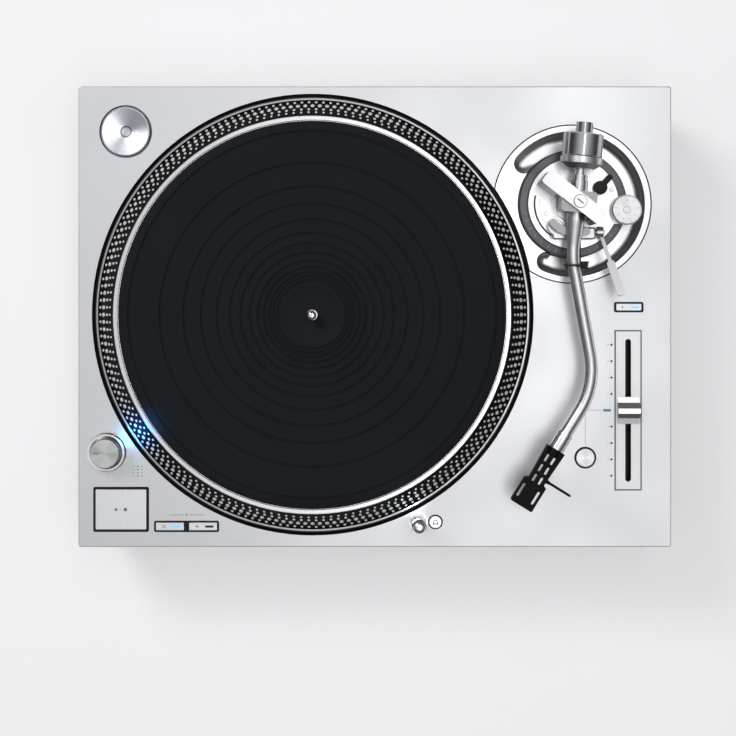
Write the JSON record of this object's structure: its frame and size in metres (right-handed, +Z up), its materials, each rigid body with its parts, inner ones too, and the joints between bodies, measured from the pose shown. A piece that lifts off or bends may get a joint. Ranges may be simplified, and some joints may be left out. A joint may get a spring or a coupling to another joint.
{
  "type": "turntable record player",
  "caption": "Direct-drive record player: flat silver deck, dotted platter with a black mat, S-shaped tonearm with counterweight, pitch slider and push buttons.",
  "frame": {"origin": "on the table, under the middle of the cabinet", "axes": "+X to the right along the front, +Y to the back, +Z up"},
  "size_m": [0.453, 0.352, 0.1626],
  "materials": {
    "silver_panel": "fine bead-blasted, clear satin",
    "black_base": "dense moulded black compound",
    "steel_screw": "zinc plated",
    "cast_alloy": "die cast, as machined",
    "copper_coils": "enamelled copper wire",
    "circuit_board": "glass-epoxy board with solder mask",
    "supply_case": "zinc plated sheet",
    "magnet": "sintered magnet in steel ring",
    "platter_alloy": "die cast, turned rim",
    "mat_rubber": "matte with moulded grooves",
    "polished_steel": "ground and polished",
    "trim_silver": "satin paint over casting",
    "ring_grey": "dark anodised, fine turned",
    "satin_silver": "satin anodised",
    "gimbal_grey": "dark satin anodised",
    "arm_tube_silver": "polished, clear anodised",
    "weight_steel": "turned, satin plated",
    "black_plastic": "moulded, fine texture",
    "head_black": "black satin anodised",
    "button_silver": "spun brushed",
    "lit_button": "silver with a light bar",
    "knob_silver": "turned and satin anodised",
    "pitch_plate_silver": "satin with a grey edge line",
    "strobe_glow": "clear blue window",
    "lamp_glow": "clear window over a white lamp",
    "adaptor_alloy": "spun brushed",
    "jack_metal": "gold plated",
    "inlet_black": "moulded",
    "foot_rubber": "matte",
    "foot_grey": "satin grey"
  },
  "bodies": {
    "chassis": {"top_panel": "silver_panel", "cabinet": "silver_panel", "base_shell": "black_base", "base_screws": "steel_screw", "bearing_housing": "cast_alloy", "stator_coils": "copper_coils", "circuit_boards": "circuit_board", "power_supply": "supply_case", "strobe_housing": "knob_silver", "strobe_window": "strobe_glow", "button_bezels": "black_plastic", "pitch_plate": "pitch_plate_silver", "pitch_fader": "black_plastic", "lamp_sleeve": "knob_silver", "arm_base_trim": "trim_silver", "arm_base_guide": "cast_alloy", "rear_terminals": "jack_metal", "ac_inlet": "inlet_black"},
    "platter": {"platter": "platter_alloy", "platter_mat": "mat_rubber", "spindle": "polished_steel", "rotor_magnet": "magnet", "hub_screws": "steel_screw"},
    "power_knob": {"power_knob": "knob_silver"},
    "start_button": {"start_button": "button_silver"},
    "speed_button_33": {"speed_button_33": "lit_button"},
    "speed_button_45": {"speed_button_45": "lit_button"},
    "range_button": {"range_button": "lit_button"},
    "reset_button": {"reset_button": "button_silver"},
    "lamp_button": {"lamp_button": "button_silver"},
    "stylus_lamp": {"stylus_lamp": "knob_silver", "lamp_lens": "lamp_glow"},
    "pitch_slider": {"pitch_slider": "knob_silver"},
    "ep_adaptor": {"ep_adaptor": "adaptor_alloy"},
    "ground_nut": {"ground_nut": "jack_metal"},
    "height_ring": {"height_ring": "ring_grey"},
    "arm_mount": {"arm_base_plate": "trim_silver", "gimbal_bridge": "satin_silver", "arm_rest": "black_plastic", "cue_housing": "trim_silver"},
    "lock_knob": {"lock_knob": "black_plastic"},
    "antiskate_knob": {"antiskate_knob": "satin_silver"},
    "arm_clip": {"arm_clip": "black_plastic"},
    "cue_lever": {"cue_lever": "trim_silver"},
    "lift_platform": {"lift_platform": "trim_silver"},
    "gimbal": {"gimbal_ring": "gimbal_grey"},
    "tonearm": {"arm_wand": "arm_tube_silver"},
    "counterweight": {"counterweight": "weight_steel"},
    "force_dial": {"force_dial": "satin_silver"},
    "locking_collar": {"locking_collar": "arm_tube_silver"},
    "headshell": {"headshell": "head_black", "finger_lift": "head_black"},
    "foot_front_left": {"foot_front_left": "foot_grey", "foot_pad_front_left": "foot_rubber"},
    "foot_front_right": {"foot_front_right": "foot_grey", "foot_pad_front_right": "foot_rubber"},
    "foot_rear_left": {"foot_rear_left": "foot_grey", "foot_pad_rear_left": "foot_rubber"},
    "foot_rear_right": {"foot_rear_right": "foot_grey", "foot_pad_rear_right": "foot_rubber"}
  },
  "joints": [
    {"name": "platter_spin", "type": "hinge", "parent": "chassis", "child": "platter", "pos_m": [-0.0474, 0.0016, 0.1], "axis": [0, 0, -1], "continuous": true},
    {"name": "power_turn", "type": "hinge", "parent": "chassis", "child": "power_knob", "pos_m": [-0.2038, -0.1029, 0.12], "axis": [0, 0, 1], "range_deg": [0, 45]},
    {"name": "start_press", "type": "slide", "parent": "chassis", "child": "start_button", "axis": [0, 0, -1], "range_m": [0, 0.0015], "stiffness_N_per_m": 500, "springref_m": -0.002},
    {"name": "speed_33_press", "type": "slide", "parent": "chassis", "child": "speed_button_33", "axis": [0, 0, -1], "range_m": [0, 0.001], "stiffness_N_per_m": 400, "springref_m": -0.002},
    {"name": "speed_45_press", "type": "slide", "parent": "chassis", "child": "speed_button_45", "axis": [0, 0, -1], "range_m": [0, 0.001], "stiffness_N_per_m": 400, "springref_m": -0.002},
    {"name": "range_press", "type": "slide", "parent": "chassis", "child": "range_button", "axis": [0, 0, -1], "range_m": [0, 0.001], "stiffness_N_per_m": 400, "springref_m": -0.002},
    {"name": "reset_press", "type": "slide", "parent": "chassis", "child": "reset_button", "axis": [0, 0, -1], "range_m": [0, 0.0012], "stiffness_N_per_m": 400, "springref_m": -0.002},
    {"name": "lamp_press", "type": "slide", "parent": "chassis", "child": "lamp_button", "axis": [0, 0, -1], "range_m": [0, 0.0012], "stiffness_N_per_m": 400, "springref_m": -0.002},
    {"name": "lamp_slide", "type": "slide", "parent": "chassis", "child": "stylus_lamp", "axis": [0, 0, -1], "range_m": [0, 0.034], "stiffness_N_per_m": 30, "springref_m": -0.03},
    {"name": "pitch_slide", "type": "slide", "parent": "chassis", "child": "pitch_slider", "axis": [0, -1, 0], "range_m": [-0.05, 0.05]},
    {"name": "adaptor_lift", "type": "slide", "parent": "chassis", "child": "ep_adaptor", "axis": [0, 0, 1], "range_m": [0, 0.012]},
    {"name": "ground_nut_turn", "type": "hinge", "parent": "chassis", "child": "ground_nut", "pos_m": [0.16, 0.1645, 0.041], "axis": [0, 1, 0], "range_deg": [0, 360]},
    {"name": "foot_adjust_front_left", "type": "slide", "parent": "chassis", "child": "foot_front_left", "axis": [0, 0, -1], "range_m": [0, 0.005]},
    {"name": "foot_adjust_front_right", "type": "slide", "parent": "chassis", "child": "foot_front_right", "axis": [0, 0, -1], "range_m": [0, 0.005]},
    {"name": "foot_adjust_rear_left", "type": "slide", "parent": "chassis", "child": "foot_rear_left", "axis": [0, 0, -1], "range_m": [0, 0.005]},
    {"name": "foot_adjust_rear_right", "type": "slide", "parent": "chassis", "child": "foot_rear_right", "axis": [0, 0, -1], "range_m": [0, 0.005]},
    {"name": "height_turn", "type": "hinge", "parent": "chassis", "child": "height_ring", "pos_m": [0.1507, 0.086, 0.108], "axis": [0, 0, 1], "range_deg": [0, 300]},
    {"name": "arm_height", "type": "slide", "parent": "chassis", "child": "arm_mount", "axis": [0, 0, 1], "range_m": [0, 0.006]},
    {"name": "arm_lock_turn", "type": "hinge", "parent": "arm_mount", "child": "lock_knob", "pos_m": [0.1704, 0.0978, 0.118], "axis": [0, 0, 1], "range_deg": [0, 60]},
    {"name": "antiskate_turn", "type": "hinge", "parent": "arm_mount", "child": "antiskate_knob", "pos_m": [0.1897, 0.081, 0.118], "axis": [0, 0, 1], "range_deg": [0, 270]},
    {"name": "clip_turn", "type": "hinge", "parent": "arm_mount", "child": "arm_clip", "pos_m": [0.1564, 0.039, 0.141], "axis": [0, 1, 0], "range_deg": [-32, 60]},
    {"name": "cue_turn", "type": "hinge", "parent": "arm_mount", "child": "cue_lever", "pos_m": [0.1696, 0.064, 0.125], "axis": [1, 0, 0], "range_deg": [0, 30]},
    {"name": "lift_slide", "type": "slide", "parent": "arm_mount", "child": "lift_platform", "axis": [0, 0, 1], "range_m": [-0.006, 0]},
    {"name": "arm_swing", "type": "hinge", "parent": "arm_mount", "child": "gimbal", "pos_m": [0.1507, 0.086, 0.143], "axis": [0, 0, -1], "range_deg": [0, 46]},
    {"name": "arm_lift", "type": "hinge", "parent": "gimbal", "child": "tonearm", "pos_m": [0.1507, 0.086, 0.143], "axis": [-0.9958, 0.0912, 0], "range_deg": [0, 7]},
    {"name": "counterweight_slide", "type": "slide", "parent": "tonearm", "child": "counterweight", "axis": [0.0912, 0.9958, 0], "range_m": [-0.004, 0.005]},
    {"name": "force_dial_turn", "type": "hinge", "parent": "counterweight", "child": "force_dial", "pos_m": [0.1507, 0.086, 0.143], "axis": [0.0912, 0.9958, 0], "continuous": true},
    {"name": "collar_turn", "type": "hinge", "parent": "tonearm", "child": "locking_collar", "pos_m": [0.1419, -0.0858, 0.143], "axis": [-0.527, -0.8499, 0], "range_deg": [0, 90]},
    {"name": "headshell_pull", "type": "slide", "parent": "tonearm", "child": "headshell", "axis": [-0.527, -0.8499, 0], "range_m": [0, 0.012]}
  ],
  "couplings": [
    {"joint": "height_turn", "follows": "arm_height", "rad_per_m": 872.66},
    {"joint": "cue_turn", "follows": "lift_slide", "rad_per_m": -87.26}
  ]
}
